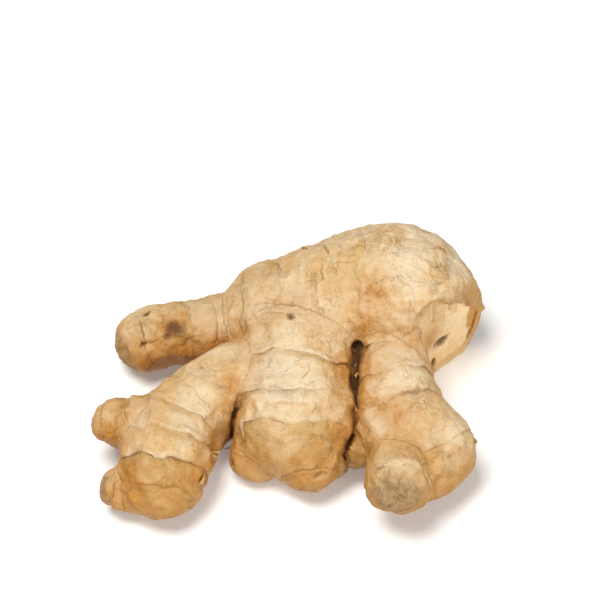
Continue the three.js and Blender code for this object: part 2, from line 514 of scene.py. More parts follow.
def smooth_step(low, high, x):
    """0 below low and 1 above high, with a soft run between them."""
    t = np.clip((x - low) / (high - low), 0, 1)
    return t * t * (3 - 2 * t)


def bell(x, middle, width):
    """1 where x is at its middle, falling off on both sides over about its width."""
    return np.exp(-(((x - middle) / width) ** 2))


def apartness():
    """1 where two limbs only press together, 0 where one grows from the other. The left finger
    leaves the middle one high up, and lies free of it lower down."""
    apart = strangers()[owner, neighbour].astype(float)
    left, middle = NAMES.index("left_finger"), NAMES.index("middle_finger")
    knob = NAMES.index("side_knob")
    apart = np.where(owner == knob, 0.3 * apart, apart)
    left_free = smooth_step(*STAYS_ROOTED, length_along)
    middle_free = smooth_step(*STAYS_JOINED, length_along)
    apart = np.where((owner == left) & (neighbour == middle), left_free, apart)
    return np.where((owner == middle) & (neighbour == left), middle_free, apart)


def face_place(points):
    """Where points lie as seen facing the knife's flat: distance to the right along it, and height
    above the torn lip of skin that hangs over its upper outer corner."""
    across = (points - CUT_POINT) @ CUT_ACROSS + LIP_START
    top, slope, bend = LIP_CURVE
    return across, points[:, 2] - (top + slope * across + bend * across**2)


def bare_face(points, soft):
    """1 on the part of the flat that the skin leaves bare, below the lip and right of the folds."""
    across, above = face_place(points)
    return smooth_step(soft, -soft, above) * smooth_step(BARE_FROM - soft, BARE_FROM + soft, across)


apart = apartness()
reach = np.where(SMALL[owner] | SMALL[neighbour], KNOB_REACH, FORK_REACH)
near_fork = (1 - np.clip(next_limb / reach, 0, 1)) * (1 - apart)
opening = (1 - np.clip(next_limb / GAP_REACH, 0, 1)) ** 2 * apart
opening *= 1 + GAP_UNEVEN * ripples(skin_points, 6, 31)
on_cut = smooth_step(1.0, 0.3, np.abs((skin_points - CUT_POINT) @ CUT_WAY)) * (owner == 0)
past_lip = smooth_step(-7.0, -0.5, (skin_points - CUT_POINT) @ CUT_WAY) * (owner == 0)
past_lip *= 1 - bare_face(skin_points, 2.0)
on_cut *= bare_face(skin_points, 1.5)
on_table = smooth_step(PRESSED_FLAT + 0.8, PRESSED_FLAT + 0.3, skin_points[:, 2])
keep_flat = np.maximum(on_cut, on_table)
fill = (reach / 4 * near_fork**2 - GAP_DEPTH * opening) * (1 - keep_flat)
skin_points = skin_points + fill[:, None] * normals_of(skin_points)
fork_weight = 0.62 * np.sqrt(near_fork) * (near_fork > 0) * (1 - keep_flat)
skin_points = relaxed(skin_points, fork_weight, FORK_ROUNDS, KEEP_SIZE)
skin_points = relaxed(skin_points, 0.6 * past_lip, LIP_ROUNDS)
skin_points = relaxed(skin_points, 0.5 * (1 - 0.7 * on_cut), SOFTEN_ROUNDS)
owner, length_along, sideways, upward, next_limb, neighbour = place_on_root(skin_points)
apart = apartness()
print("forks filled by up to", round(float(fill.max()), 2), "mm")
print("gaps opened by up to", round(float(-fill.min()), 2), "mm")

# %% [markdown]
# ## Lumps
# One set of ripples per size of lump gives broad swellings, thumb-sized dents and fine puckers.
# Folding a second sum at zero, by taking its absolute value, turns it into the creases of a papery
# skin.

# %% Random lumps
LUMPS = [(26, 0.8, 11), (13, 0.42, 12), (6.5, 0.16, 13), (3.2, 0.06, 14)]  # size, height, seed
CREASES = [(11, 0.55, 15), (6, 0.32, 16), (3.4, 0.13, 17)]
lumps = sum(height * ripples(skin_points, size, seed) for size, height, seed in LUMPS)
lumps += sum(height * (0.4 - np.abs(ripples(skin_points, size, seed))) for size, height, seed in CREASES)
print("lumps reach", np.round([lumps.min(), lumps.max()], 2), "mm")

# %% [markdown]
# ## Growth rings
# Every few millimetres a finger wore a papery scale leaf. When it withers it leaves a ring: a thin
# raised edge on the older side, a fine dark groove, and a swelling up to the next ring. Counting
# rings along the limb, as a number that grows steadily, lets the material draw them sharply too.

# %% Ring count and ring relief
def ring_count(limb_index, length):
    """Number of rings passed, with fractions, the local spacing in mm, and how bold the nearest
    ring is."""
    count = np.zeros(len(length))
    spacing = np.ones(len(length))
    bold = np.zeros(len(length))
    for i, name in enumerate(NAMES):
        on = limb_index == i
        marks = np.concatenate([[-8], LIMBS[name]["rings"], [LIMBS[name]["length"] + 6]])
        count[on] = np.interp(length[on], marks, np.arange(len(marks)))
        between = np.clip(np.floor(count[on]).astype(int), 0, len(marks) - 2)
        spacing[on] = np.diff(marks)[between]
        strengths = LIMBS[name].get("bold", [0.6] * (len(marks) - 2))
        bold[on] = np.concatenate([[0], strengths, [0]])[np.round(count[on]).astype(int)]
    return count, spacing, bold


WANDER = [(24, 1.5, 21), (9, 0.7, 22), (3.5, 0.25, 23)]  # size, height, seed
wander = sum(height * ripples(skin_points, size, seed) for size, height, seed in WANDER)
on_middle_tip = (owner == NAMES.index("middle_finger")) * smooth_step(44, 52, length_along)
wander *= np.where(owner == 0, 1.5, 1.0) + 0.9 * on_middle_tip
rings, ring_gap, bold = ring_count(owner, length_along + wander)
from_ring = (np.mod(rings + 0.5, 1) - 0.5) * ring_gap  # mm, positive towards the tip
ring_strength = np.clip(1.0 + 0.6 * ripples(skin_points, 16, 24), 0.2, 1.5) * bold
ring_strength *= smooth_step(0.5, 3.5, next_limb)
EDGE_HEIGHT, GROOVE_DEPTH, SWELL_HEIGHT = 0.42, 0.5, 0.55  # mm
edge = EDGE_HEIGHT * bell(from_ring, -0.9, 0.9)
groove = -GROOVE_DEPTH * bell(from_ring, 0.35, 0.65)
swelling = SWELL_HEIGHT * np.sin(math.pi * np.mod(rings, 1)) - 0.25
ring_relief = ring_strength * (edge + groove) + swelling * smooth_step(1, 6, next_limb)
print("ring relief from", round(float(ring_relief.min()), 2), "to", round(float(ring_relief.max()), 2), "mm")

# %% [markdown]
# ## Dry ends and scars
# Old knob ends dry out: the tip sinks, a low rim stands round it, and the skin checks into small
# plates. Where roots were pulled off, round scars stay. They are placed by limb, by length along
# it and by turn round it, so they sit on the skin whatever the size of the root.

# %% Spots on a limb
def spot(name, length, turn):
    """Point on a limb's plain surface, at a turn in degrees from its right side towards its top."""
    centre, _, side, up, half_wide, half_high = (v[0] for v in limb_frame(name, np.array([float(length)])))
    c, d = math.cos(math.radians(turn)), math.sin(math.radians(turn))
    reach = (abs(c) ** SQUARENESS + abs(d) ** SQUARENESS) ** (-1 / SQUARENESS)
    return centre + half_wide * reach * c * side + half_high * reach * d * up


def tip_of(name):
    """Point at a limb's far end."""
    return limb_frame(name, np.array([float(LIMBS[name]["length"])]))[0][0]


def closeness(points, centre, size, seed):
    """1 at a spot's centre, falling as a bell to 0 outside it, with a ragged outline."""
    away = np.linalg.norm(points - centre, axis=1) / size
    away = away * (1 + 0.25 * ripples(points, size * 1.1 + 1, seed))
    return np.exp(-(away**2))


# %% Bulges and dents
BULGES = [  # limb, mm along it, degrees round it, mm across, height in mm
    ("right_finger", 38, 38, 6.0, 1.6),
    ("right_finger", 30, 30, 4.0, -0.8),
    ("right_finger", 9, 120, 4.0, 0.9),
    ("right_finger", 14, 100, 3.0, -0.6),
    ("right_finger", 56, 130, 8.0, 1.0),
    ("left_knob", 21, 90, 6.0, 0.7),
    ("left_knob", 11, 110, 4.0, -0.9),
    ("left_knob", 11, 60, 4.0, -0.6),
    ("low_knob", 9, 100, 3.0, -0.9),
    ("left_finger", 42, 150, 6.0, 0.8),
    ("left_finger", 60, 40, 4.0, -0.7),
    ("left_finger", 34, 95, 9.0, -0.8),
    ("middle_finger", 22, 60, 9.0, 0.7),
    ("middle_finger", 35, 130, 8.0, 0.6),
    ("middle_finger", 56, 50, 5.0, -1.0),
    ("middle_finger", 59, 84, 4.0, -0.7),
    ("mother", 30, 60, 12.0, 0.9),
    ("mother", 44, 100, 8.0, -0.9),
    ("mother", 62, 80, 9.0, 0.8),
]
bulge_relief = np.zeros(len(skin_points))
for i, (name, length, turn, size, height) in enumerate(BULGES):
    bulge_relief += height * closeness(skin_points, spot(name, length, turn), size, 150 + i)
print(len(BULGES), "bulges and dents, up to", round(float(bulge_relief.max()), 2), "mm")

# %% Scars
SCARS = [  # limb, mm along it, degrees round it, mm across, depth in mm
    ("back_finger", 26, 112, 3.6, 1.0),
    ("back_finger", 33, 60, 1.2, 0.4),
    ("back_finger", 38, 125, 1.3, 0.35),
    ("middle_finger", 15.5, 78, 1.2, 0.4),
    ("middle_finger", 44, 148, 1.0, 0.3),
    ("left_finger", 22, 30, 1.0, 0.4),
    ("left_finger", 44, 60, 0.8, 0.3),
    ("right_finger", 47, 20, 1.5, 0.4),
    ("mother", 45, 20, 1.2, 0.4),
    ("mother", 60, 40, 1.5, 0.5),
    ("mother", 72, 10, 2.8, 0.8),
    ("mother", 52, -10, 2.2, 0.7),
    ("middle_finger", 30, -60, 2.4, 0.6),
    ("left_finger", 35, -70, 2.6, 0.7),
    ("right_finger", 40, -60, 2.6, 0.7),
    ("left_swelling", 21, 20, 2.0, 0.5),
]
scar = np.zeros(len(skin_points))
scar_relief = np.zeros(len(skin_points))
for i, (name, length, turn, size, depth) in enumerate(SCARS):
    centre = spot(name, length, turn)
    here = closeness(skin_points, centre, size, 40 + i)
    wider = closeness(skin_points, centre, size * 1.7, 60 + i)
    scar = np.maximum(scar, here)
    scar_relief += depth * (0.7 * wider - 1.5 * here)
print(len(SCARS), "scars, down to", round(float(-scar_relief.min()), 2), "mm")

# %% Stains, some of them painted shadow
# Mostly real stains; the mother piece and back finger rows marked below are partly painted shadow.
STAINS_AND_SHADOWS = [  # limb, mm along it, degrees round it, mm across, strength
    ("middle_finger", 58.5, 118, 2.6, 0.95),
    ("middle_finger", 31, 165, 5.0, 0.8),
    ("left_finger", 17, 125, 5.0, 1.0),
    ("middle_finger", 25, 12, 4.5, 0.95),
    ("left_finger", 22, 138, 4.0, 0.8),
    # Painted shadow: this orange patch stands for the shade that a second root, not built, cast on the
    # mother piece.
    ("mother", 35, 123, 6.0, 0.8),
    ("mother", 27, 65, 2.6, 0.8),
    ("mother", 38, 152, 4.5, 1.0),
    ("right_finger", 4, 140, 4.0, 0.9),
    ("mother", 37, 142, 7.0, 0.9),
    ("mother", 84, 140, 7.0, 0.9),
    ("right_finger", 44, 68, 7.5, 1.0),
    ("right_finger", 36, 55, 6.0, 0.7),
    ("left_knob", 21, 85, 5.0, 0.45),
    ("right_finger", 66, 78, 4.5, 0.9),
    ("right_finger", 56, 70, 5.0, 0.6),
    ("right_knob", 20, 30, 6.0, 0.6),
    ("left_knob", 21, 150, 5.5, 0.95),
    ("left_knob", 25, 190, 6.0, 0.95),
    ("left_knob", 14, 120, 4.0, 0.6),
    ("low_knob", 17, 160, 7.0, 0.95),
    ("low_knob", 13, 120, 4.0, 0.7),
    ("left_finger", 68, 40, 6.0, 0.8),
    ("left_finger", 69, 110, 4.0, 0.6),
    ("side_knob", 12, 90, 6.0, 0.8),
    ("left_finger", 30, 20, 7.0, 0.6),
    ("left_finger", 57, 20, 5.0, 0.7),
    ("left_finger", 58, 150, 5.0, 0.85),
    ("left_finger", 61, 45, 6.0, 1.0),
    ("left_finger", 50, 25, 6.0, 0.8),
    # The back finger's stains are partly painted shadow of a second root that is not built.
    ("back_finger", 34, 150, 8.0, 0.95),
    ("back_finger", 42, 130, 6.0, 0.9),
    ("back_finger", 24, 160, 7.0, 0.9),
    ("back_finger", 11, 160, 8.0, 1.0),
    ("back_finger", 36, 100, 5.0, 0.5),
    ("back_finger", 26, 112, 6.5, 0.9),
    ("back_finger", 17, 130, 6.0, 0.8),
    ("back_finger", 40, 160, 6.0, 1.0),
    ("nose", 18, 110, 5.0, 0.6),
    ("left_swelling", 19, 40, 5.0, 0.8),
    ("mother", 55, 150, 8.0, 0.45),
    ("mother", 30, 30, 10.0, 0.4),
    ("mother", 65, 60, 9.0, 0.35),
]
stain_and_shadow = np.zeros(len(skin_points))
for i, (name, length, turn, size, strength) in enumerate(STAINS_AND_SHADOWS):
    stain_and_shadow = np.maximum(stain_and_shadow, strength * closeness(skin_points, spot(name, length, turn), size, 90 + i))
print(len(STAINS_AND_SHADOWS), "stains on", round(100 * float((stain_and_shadow > 0.3).mean())), "% of the skin")

# %% Dry ends
DRY_ENDS = [  # limb, mm across, how dark and dry
    ("right_knob", 9.5, 0.9),
    ("low_knob", 6.5, 0.8),
    ("side_knob", 6.5, 0.9),
    ("back_finger", 8.0, 0.55),
    ("nose", 4.5, 0.5),
    ("left_knob", 4.0, 0.35),
]
FOLD_GAP = 2.4  # mm between the ring-shaped folds round a dry tip
dry = np.zeros(len(skin_points))
dry_relief = np.zeros(len(skin_points))
for i, (name, size, strength) in enumerate(DRY_ENDS):
    away = np.linalg.norm(skin_points - tip_of(name), axis=1) / size
    uneven = away + 0.14 * ripples(skin_points, 5, 120 + i)
    dry = np.maximum(dry, strength * smooth_step(1.2, 0.55, uneven))
    near = bell(away, 0, 0.8)
    folds = 0.16 * np.cos(2 * math.pi * uneven * size / FOLD_GAP) * near
    pucker = 0.2 * ripples(skin_points, 2.6, 140 + i) * near
    dry_relief += folds + pucker - 0.9 * bell(away, 0, 0.22)
print(len(DRY_ENDS), "dry ends")

# %% Nicks and creases
NICKS = [  # limb, then mm along and degrees round it at both ends, half width and depth in mm
    ("middle_finger", 46, 106, 52, 108, 0.38, 0.4),
    ("middle_finger", 33, 100, 39, 94, 0.35, 0.25),
    ("nose", 18, 92, 16.5, 122, 0.7, 0.7),
    ("nose", 16.5, 122, 12.5, 140, 0.7, 0.7),
    ("nose", 18.5, 104, 15.5, 132, 0.5, 0.5),
    ("left_finger", 49, 126, 54.5, 130, 0.4, 0.4),
    ("left_finger", 50, 140, 54, 143, 0.4, 0.4),
    ("left_finger", 66, 104, 67, 76, 0.35, 0.3),
    ("right_knob", 24, 96, 31, 100, 0.35, 0.3),
    ("right_knob", 30, 78, 32, 50, 0.35, 0.3),
    ("right_knob", 33, 120, 34, 60, 0.5, 0.4),
    ("mother", 34.5, 136, 24.5, 92, 0.6, 0.35),
    ("mother", 26.8, 90, 26, 78, 0.5, 0.3),
    ("mother", 26, 78, 23.3, 83, 0.5, 0.3),
    ("mother", 28.2, 68, 26, 62.5, 0.6, 0.4),
    ("back_finger", 31, 128, 38, 122, 0.4, 0.4),
    ("back_finger", 35, 88, 41, 96, 0.35, 0.3),
]
NICK_SWAY = 0.6  # mm that a nick strays from a straight line
nick = np.zeros(len(skin_points))
for i, (name, start, start_turn, end, end_turn, half, depth) in enumerate(NICKS):
    a, b = spot(name, start, start_turn), spot(name, end, end_turn)
    sway = np.stack([ripples(skin_points, 5, 190 + 3 * i + k) for k in range(3)], axis=1)
    bent = skin_points + NICK_SWAY * sway
    share = np.clip(((bent - a) @ (b - a)) / ((b - a) @ (b - a)), 0, 1)
    away = np.linalg.norm(bent - a - share[:, None] * (b - a), axis=1)
    here = bell(away, 0, half) * (0.55 + 0.45 * np.sin(math.pi * share))
    nick = np.maximum(nick, here)
    scar_relief -= depth * here
print(len(NICKS), "nicks and creases")

# %% [markdown]
# ## The knife's flat
# The cut end shows bare flesh. Rags of skin hang over it from a torn lip above, a brown rim of skin
# edges it, and it has two dark marks. It could be a piece of its own, but it is the same skin's
# surface, so masks on the skin's points say what is flesh and what is skin.

# %% Masks on the knife's flat
cut_away = (skin_points - CUT_POINT) @ CUT_WAY
across, above_lip = face_place(skin_points)
ragged = np.outer(1.1 * ripples(skin_points, 6, 174), [0, 0, 1.0])
ragged += np.outer(1.6 * ripples(skin_points, 8, 173), CUT_ACROSS)
cut = smooth_step(-1.1, -0.35, cut_away) * (owner == 0) * bare_face(skin_points + ragged, 0.45)
resting = smooth_step(PRESSED_FLAT + 1.2, PRESSED_FLAT + 0.2, skin_points[:, 2])
trimmed = resting * smooth_step(36, 30, -cut_away) * (owner == 0)
STRIPS = [(-1.6, 2.3, 15), (5.6, 2.9, 13), (12.6, 2.2, 7)]  # where across, half width, length in mm
across = across + 0.7 * ripples(skin_points, 9, 176)
strips = np.zeros(len(skin_points))
strip_edges = np.zeros(len(skin_points))
for middle, half, length in STRIPS:
    hangs = smooth_step(-length - 1, -length + 1, above_lip)
    strips += np.exp(-(((across - middle) / half) ** 6)) * hangs
    strip_edges += bell(np.abs(across - middle), half, 0.5) * hangs
RIM_FROM = (20.2, 22.2)  # mm across over which the brown rim of skin starts
rim = smooth_step(*RIM_FROM, across + 0.8 * ripples(skin_points, 7, 175))
rim *= smooth_step(2, 7, skin_points[:, 2])
FACE_MARKS = [(9.0, 13.5, 3.2, 2.2), (5.4, 4.0, 0.9, 2.4)]  # across, height, half sizes
face_scar = np.zeros(len(skin_points))
for place, height, half_wide, half_high in FACE_MARKS:
    away = ((across - place) / half_wide) ** 2 + ((skin_points[:, 2] - height) / half_high) ** 2
    face_scar = np.maximum(face_scar, np.exp(-(away**1.5)) * cut)
face_stain = bell(across, 2.5, 5.5) * bell(skin_points[:, 2], 20, 7) * cut
FLESH_SUNK = 1.8  # mm that the flesh lies below the skin
face_relief = 0.9 * strips - FLESH_SUNK - 0.5 * rim - 0.9 * face_scar
face_relief = face_relief + 0.25 * ripples(skin_points, 9, 171) + 0.1 * ripples(skin_points, 3, 172)
LIP_HEIGHT = 0.8  # mm that the torn lip stands proud
lip_relief = LIP_HEIGHT * bell(above_lip, 1.0, 1.4) * smooth_step(-4, -1, cut_away) * (owner == 0)
scar = np.maximum(scar * (1 - cut), face_scar)
# Painted shade: a dark band just under the torn lip, where the lip overhangs the flesh; the rim and the
# rags' edges are the skin's own brown.
shade_under_lip = bell(above_lip, -1.2, 1.3)
rim_and_lip_shade = np.maximum(0.95 * rim, np.maximum(0.6 * strip_edges, 0.55 * shade_under_lip)) * cut
face_stain_and_shade = np.maximum(0.95 * face_stain, rim_and_lip_shade)
stain_and_shadow = np.maximum(stain_and_shadow * (1 - cut), face_stain_and_shade)
print("bare flesh on", round(100 * float(cut.mean()), 1), "% of the points")

# %% [markdown]
# ## Shape the skin
# All the relief is added along the surface's own normals, at once. It fades out on the knife's flat
# and where the root rests, because a cut is flat and the table presses its lowest spots flat.

# %% Relief on the skin
grown_relief = lumps + ring_relief + bulge_relief + scar_relief + dry_relief + lip_relief
relief = grown_relief * (1 - cut) * (1 - resting) + face_relief * cut * (1 - resting)
skin_points = skin_points + relief[:, None] * normals_of(skin_points)
skin_points = relaxed(skin_points, 0.12, 1)
skin_points = skin_points + SHIFT
skin_points[:, 2] = np.maximum(skin_points[:, 2], 0.02)
skin_normals = normals_of(skin_points)
print("skin spans", np.round(np.ptp(skin_points, axis=0), 1), "mm")

# %% Painted light and shade: pale on top, dark in crevices, forks, on the sides and underneath
# Painted shade: skin close to a finger it only presses against is darkened, as in a deep gap.
crevice_shade = bell(np.maximum(next_limb, 0), 0, 3.0) * apart
# Painted shade: orange-brown near every fork, standing in for shade and warm bounced light there.
fork_shade_tint = bell(np.maximum(next_limb, 0), 0, 5.5 + 3.5 * apart) * (0.5 + 0.6 * apart)
facing_up = add_up(EDGE_FROM, skin_normals[EDGE_TO], len(skin_points))[:, 2] / EDGE_COUNT[:, 0]
# Painted shade: skin that faces sideways is darkened towards orange-tan.
side_shade = smooth_step(0.9, 0.15, facing_up)
calm = smooth_step(0.2, 2.0, next_limb)
# Painted light: skin that faces up is made paler, as if lit from above.
painted_top_light = smooth_step(0.7, 1.0, skin_normals[:, 2]) * smooth_step(0, 5, next_limb) * (1 - cut)
# Painted shade: skin that faces down is darkened to brown.
shade_underneath = smooth_step(0.35, -0.75, skin_normals[:, 2]) * (1 - cut)
TIP_TONE = {"middle_finger": 0.75, "left_finger": 0.95, "back_finger": 0.6, "nose": 0.5}
tip_tone_and_shade = np.zeros(len(skin_points))
for i, name in enumerate(NAMES):
    last_ring = LIMBS[name]["rings"][-2 if name == "left_finger" else -1]
    past = smooth_step(-0.3, 0.6, length_along + wander - last_ring)
    tip_tone_and_shade = np.where(owner == i, TIP_TONE.get(name, 0) * past, tip_tone_and_shade)
# Partly painted shade: the back finger is darkened all over for the shadow of a second root that is not
# built, and the side knob for lying in shade.
WHOLE_TONE_AND_SHADE = {  # limbs that are duller all over
    "left_knob": 0.55, "low_knob": 0.9, "side_knob": 0.55, "right_knob": 0.15, "back_finger": 0.6,
    "nose": 0.5, "left_swelling": 0.35, "right_swelling": 0.4,
}
whole_tone_and_shade = np.array([WHOLE_TONE_AND_SHADE.get(name, 0.0) for name in NAMES])[owner]
tip_tone_and_shade = np.maximum(tip_tone_and_shade, whole_tone_and_shade * smooth_step(0.0, 4.0, next_limb))
print("worn skin on", round(100 * float(painted_top_light.mean())), "% of the points")

# %% Masks that the material reads
LIMB_STEP = 37.0  # mm added per limb, so that no two limbs share a pattern
straight = np.stack([length_along + LIMB_STEP * owner, sideways, upward], axis=1)
ATTRIBUTES = {
    "rings": rings,
    "ring_gap": ring_gap,
    "ring_strength": ring_strength * (1 - cut),
    "crevice_shade": crevice_shade * (1 - cut),
    "fork_shade_tint": fork_shade_tint * (1 - cut),
    "shade_underneath": shade_underneath,
    "tip_tone_and_shade": tip_tone_and_shade,
    "scar": scar,
    "nick": nick * (1 - cut),
    "stain_and_shadow": stain_and_shadow,
    "side_shade": side_shade,
    "calm": calm,
    "painted_top_light": painted_top_light,
    "strips": np.clip(strips * cut, 0, 1),
    "dry": dry * (1 - cut),
    "cut": cut,
    "trimmed": trimmed,
}
for name, values in ATTRIBUTES.items():
    print(f"{name:14s} {values.min():7.2f} to {values.max():7.2f}")

# %% The finished root
root_mesh = mesh_from("rhizome", skin_points, quads.tolist())
for name, values in ATTRIBUTES.items():
    layer = root_mesh.attributes.new(name, "FLOAT", "POINT")
    layer.data.foreach_set("value", values.astype(np.float32))
layer = root_mesh.attributes.new("straight", "FLOAT_VECTOR", "POINT")
layer.data.foreach_set("vector", straight.astype(np.float32).ravel())
root_mesh.polygons.foreach_set("use_smooth", np.ones(len(quads), bool))
root = placed("rhizome", root_mesh)
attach(root, "root")
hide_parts("ginger_root")
print("rhizome has", 2 * len(quads), "triangles")

# %% [markdown]
# ## Building materials from nodes
# The skin is one material with many layers, so a few helpers keep it readable: one makes a node and
# plugs its inputs, and small ones mix colours and shape a value between two limits.

# %% Node helpers
def plug(tree, socket, value):
    """A socket is linked to an output, or set to a plain value."""
    if isinstance(value, bpy.types.NodeSocket):
        tree.links.new(value, socket)
    else:
        socket.default_value = value


def make(tree, kind, inputs=None, **settings):
    """A new node with its settings made and its inputs plugged."""
    node = tree.nodes.new(kind)
    for key, value in settings.items():
        setattr(node, key, value)
    for key, value in (inputs or {}).items():
        plug(tree, node.inputs[key], value)
    return node


def maths(tree, operation, a, b=0.0, clamp=False):
    """One sum, product or other simple operation on two values."""
    return make(tree, "ShaderNodeMath", {0: a, 1: b}, operation=operation, use_clamp=clamp).outputs[0]


def between(tree, value, low, high, to_low=0.0, to_high=1.0):
    """Runs smoothly from to_low to to_high as a value goes from low to high, and stays there."""
    inputs = {"Value": value, "From Min": low, "From Max": high, "To Min": to_low, "To Max": to_high}
    return make(tree, "ShaderNodeMapRange", inputs, interpolation_type="SMOOTHSTEP").outputs[0]


def mixed(tree, share, first, second):
    """The first colour, with a share from 0 to 1 of the second over it."""
    node = make(tree, "ShaderNodeMix", data_type="RGBA", clamp_factor=True)
    plug(tree, node.inputs[0], share)
    plug(tree, node.inputs[6], first)
    plug(tree, node.inputs[7], second)
    return node.outputs[2]


def cloud(tree, vector, scale, detail=3.0, rough=0.55, warp=0.0):
    """Soft noise about 0.5, with features about 1/scale of the vector's unit."""
    inputs = {"Vector": vector, "Scale": scale, "Detail": detail, "Roughness": rough, "Distortion": warp}
    return make(tree, "ShaderNodeTexNoise", inputs).outputs[0]


def attribute(tree, name, output="Fac"):
    """One of the masks or vectors that the mesh carries."""
    return make(tree, "ShaderNodeAttribute", attribute_name=name).outputs[output]


def new_material(name):
    """An empty node material, its tree, and the object coordinates inside it."""
    material = bpy.data.materials.new(name)
    material.use_nodes = True
    material.node_tree.nodes.clear()
    return material, material.node_tree, make(material.node_tree, "ShaderNodeTexCoord").outputs["Object"]


def finish_with(tree, colour, gloss, height):
    """The shader at the end of a material: colour, roughness and a bump of `height` mm."""
    bump = make(tree, "ShaderNodeBump", {"Height": height, "Distance": MM, "Strength": 1.0}).outputs[0]
    inputs = {"Base Color": colour, "Roughness": gloss, "Normal": bump}
    shader = make(tree, "ShaderNodeBsdfPrincipled", inputs)
    make(tree, "ShaderNodeOutputMaterial", {"Surface": shader.outputs[0]})
    return shader


def group(name, inputs, outputs):
    """A node group with its named sockets, and its input and output nodes."""
    tree = bpy.data.node_groups.new(name, "ShaderNodeTree")
    for socket, kind in inputs.items():
        tree.interface.new_socket(socket, in_out="INPUT", socket_type="NodeSocket" + kind)
    for socket, kind in outputs.items():
        tree.interface.new_socket(socket, in_out="OUTPUT", socket_type="NodeSocket" + kind)
    return tree, make(tree, "NodeGroupInput").outputs, make(tree, "NodeGroupOutput").inputs


def use(tree, kit, inputs):
    """A shared node group placed in this tree, with its inputs plugged."""
    node = make(tree, "ShaderNodeGroup", node_tree=kit)
    for key, value in inputs.items():
        plug(tree, node.inputs[key], value)
    return node.outputs


# %% [markdown]
# ## Rings, drawn finely
# The mesh already has the rings' shape. Their thin dark line, the pale papery edge on its older side,
# which also carries a painted highlight, and the band of painted shade past it are finer than the
# mesh, so a node group draws them from the ring count: the count's distance from a whole number,
# times the spacing, is the distance from the ring in mm.

# %% Ring group
ring_kit, ring_in, ring_out = group(
    "growth_rings",
    {"Count": "Float", "Spacing": "Float", "Strength": "Float", "Vector": "Vector"},
    {"Line": "Float", "Papery Edge And Highlight": "Float", "Painted Shade Band": "Float", "Height": "Float"},
)
t = ring_kit
share = maths(t, "SUBTRACT", maths(t, "FRACT", maths(t, "ADD", ring_in["Count"], 0.5)), 0.5)
distance = maths(t, "MULTIPLY", share, ring_in["Spacing"])
ragged = maths(t, "SUBTRACT", cloud(t, ring_in["Vector"], 300.0, 3.0, 0.6), 0.5)
distance = maths(t, "ADD", distance, maths(t, "MULTIPLY", ragged, 1.1))
broken = between(t, cloud(t, ring_in["Vector"], 130.0, 3.0), 0.4, 0.6, 0.05, 1.0)
line = between(t, maths(t, "ABSOLUTE", distance), 0.06, 0.42, 1.0, 0.0)
line = maths(t, "MULTIPLY", maths(t, "MULTIPLY", line, broken), ring_in["Strength"], clamp=True)
# Older side: the pale papery edge, which also acts as a painted highlight on the raised edge.
older = between(t, distance, -2.6, -0.15)
older = maths(t, "MULTIPLY", older, between(t, distance, -0.1, 0.15, 1.0, 0.0))
# Newer side: a band of painted shade past each ring's raised edge.
newer = maths(t, "MULTIPLY", between(t, distance, 0.0, 0.5), between(t, distance, 0.6, 4.2, 1.0, 0.0))
plug(t, ring_out["Line"], line)
plug(t, ring_out["Papery Edge And Highlight"], maths(t, "MULTIPLY", older, ring_in["Strength"]))
plug(t, ring_out["Painted Shade Band"], maths(t, "MULTIPLY", newer, ring_in["Strength"]))
raised = maths(t, "MULTIPLY", maths(t, "MULTIPLY", older, ring_in["Strength"]), 0.3)
plug(t, ring_out["Height"], maths(t, "SUBTRACT", raised, maths(t, "MULTIPLY", line, 0.45)))
print(len(ring_kit.nodes), "nodes in", ring_kit.name)

# %% [markdown]
# ## Grain
# Under the papery skin, fibres run along each finger, and fine wrinkles run round it. Both use the
# straightened coordinates that every point carries: length along the limb, then two offsets
# across it. Stretching a noise along the first of them gives fibres; squeezing it gives wrinkles.

# %% Grain group
grain_kit, grain_in, grain_out = group(
    "skin_grain", {"Straight": "Vector"}, {"Fibre": "Float", "Wrinkle": "Float", "Height": "Float"}
)
t = grain_kit


def stretched(tree, vector, scale):
    """A vector times a different scale each way, which draws a pattern out along the small one."""
    return make(tree, "ShaderNodeVectorMath", {0: vector, 1: scale}, operation="MULTIPLY").outputs[0]


fibre = cloud(t, stretched(t, grain_in["Straight"], (0.09, 1.0, 1.0)), 1.1, 5.0, 0.6, 0.3)
hair = cloud(t, stretched(t, grain_in["Straight"], (0.2, 2.6, 2.6)), 1.3, 3.0, 0.6)
wrinkle = cloud(t, stretched(t, grain_in["Straight"], (1.5, 0.16, 0.16)), 1.2, 4.0, 0.6, 0.6)
plug(t, grain_out["Fibre"], between(t, fibre, 0.34, 0.68))
plug(t, grain_out["Wrinkle"], between(t, wrinkle, 0.38, 0.66))
height = maths(t, "MULTIPLY", between(t, fibre, 0.3, 0.7), 0.1)
height = maths(t, "ADD", height, maths(t, "MULTIPLY", hair, 0.08))
height = maths(t, "ADD", height, maths(t, "MULTIPLY", between(t, wrinkle, 0.35, 0.65), 0.09))
plug(t, grain_out["Height"], height)
print(len(grain_kit.nodes), "nodes in", grain_kit.name)

# %% [markdown]
# ## Checked skin
# Dry skin cracks into small plates. The distance to the edges of Voronoi cells gives thin cracks,
# and warping the vector first keeps them from looking like tiles.

